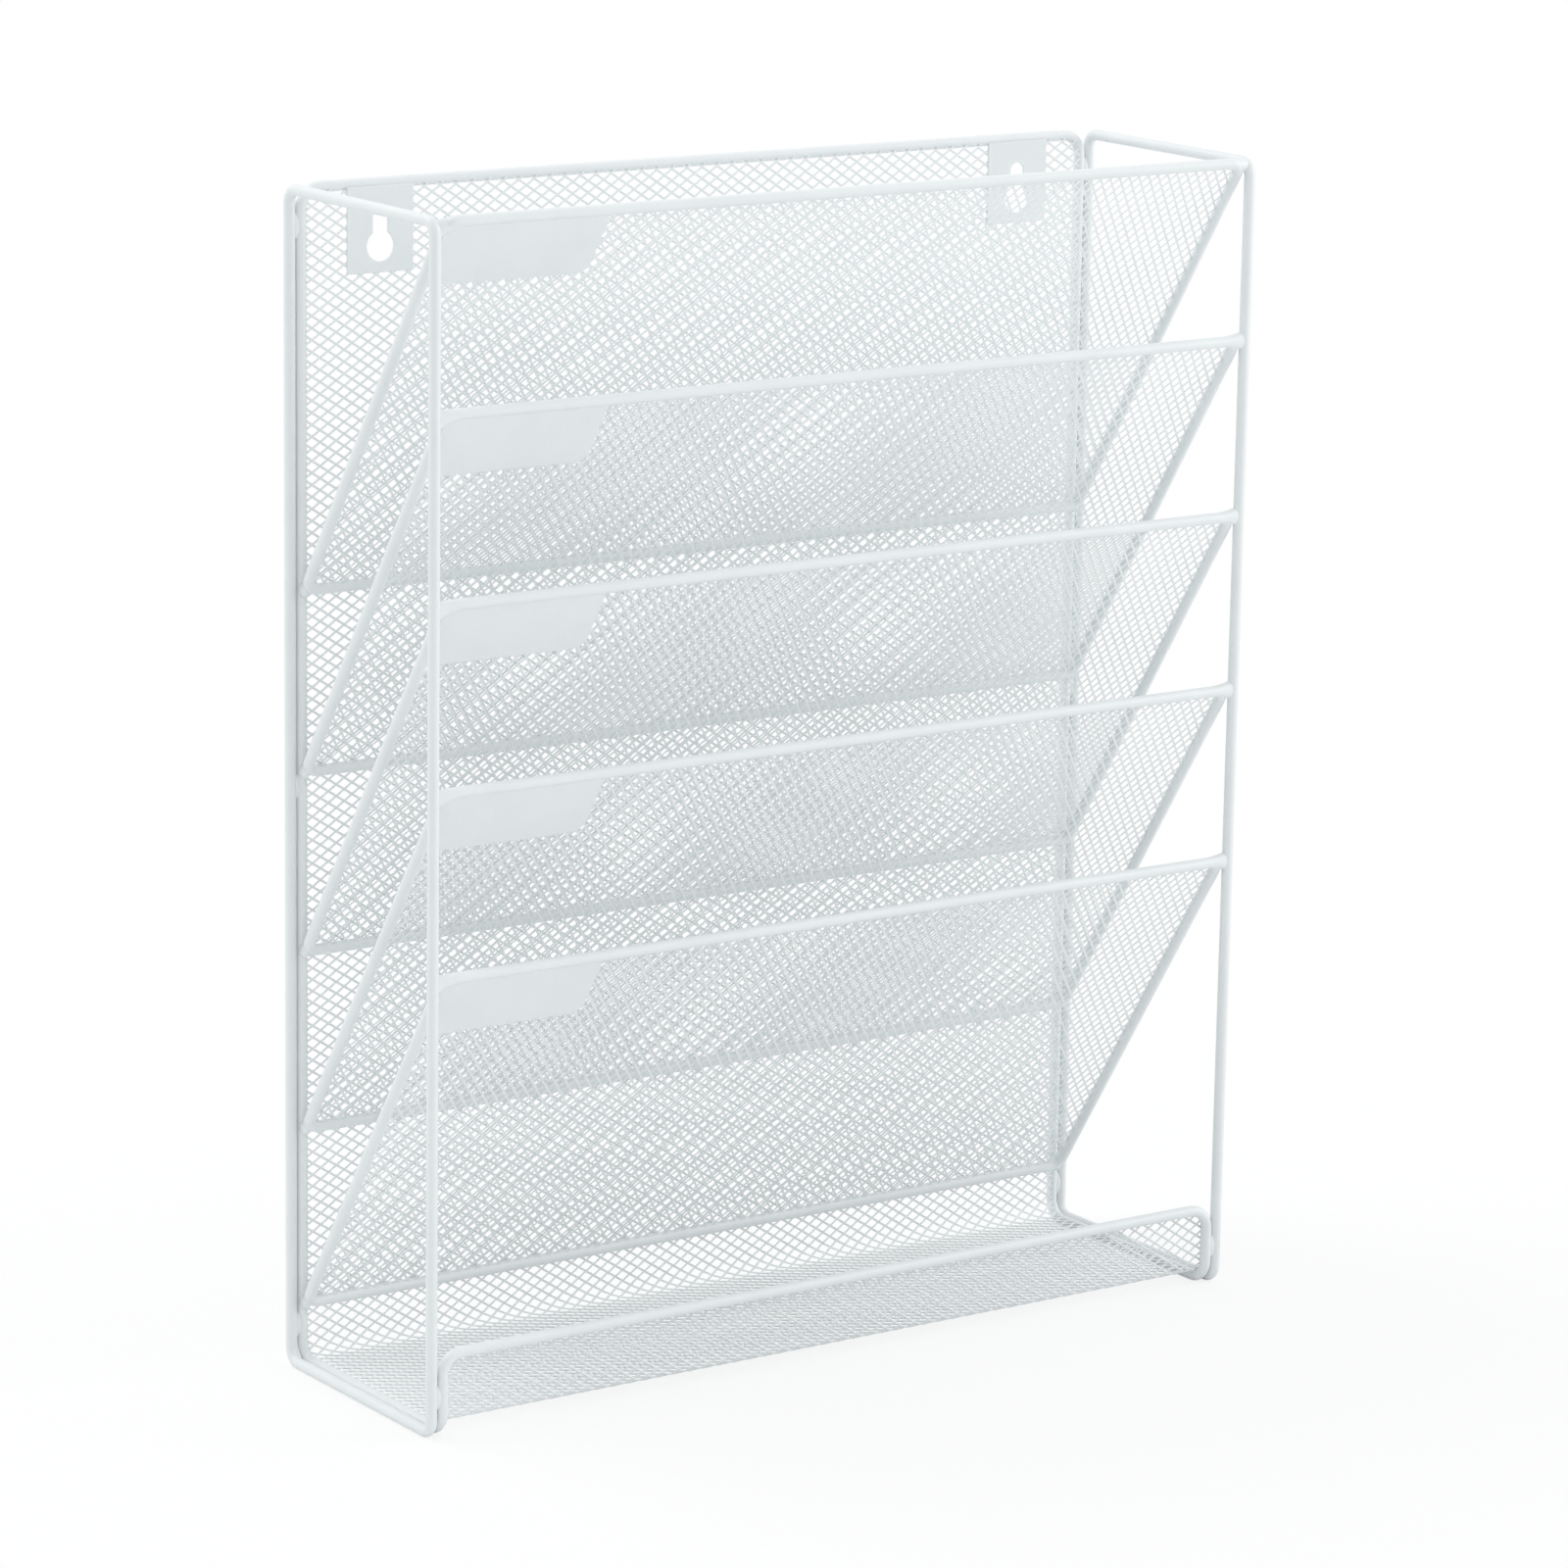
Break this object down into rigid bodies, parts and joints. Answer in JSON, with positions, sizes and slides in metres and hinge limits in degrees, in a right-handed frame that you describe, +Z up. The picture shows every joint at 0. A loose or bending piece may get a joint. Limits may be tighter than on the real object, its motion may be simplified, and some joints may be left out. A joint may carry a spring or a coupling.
{
  "type": "mesh file organizer",
  "caption": "Wall file organizer of white wire and diamond mesh, with slanted letter-size pockets, label plates and a shallow tray at the foot.",
  "frame": {"origin": "middle of the footprint, on the surface that the floor wires stand on", "axes": "+X to the viewer's right, +Y from the front to the wall, +Z up"},
  "size_m": [0.322, 0.093, 0.3935],
  "materials": {
    "wire": "satin white powder coat",
    "mesh": "satin white powder coat",
    "plate": "satin white powder coat"
  },
  "bodies": {
    "root": {"side_frame_left": "wire", "side_frame_right": "wire", "body_wire": "wire", "body_mesh": "mesh", "hanging_plate_left": "plate", "hanging_plate_right": "plate", "panel_wire_1": "wire", "panel_wire_2": "wire", "panel_wire_3": "wire", "panel_wire_4": "wire", "panel_wire_5": "wire", "panel_mesh_1": "mesh", "panel_mesh_2": "mesh", "panel_mesh_3": "mesh", "panel_mesh_4": "mesh", "panel_mesh_5": "mesh", "label_plate_1": "plate", "label_plate_2": "plate", "label_plate_3": "plate", "label_plate_4": "plate", "label_plate_5": "plate"}
  },
  "joints": []
}
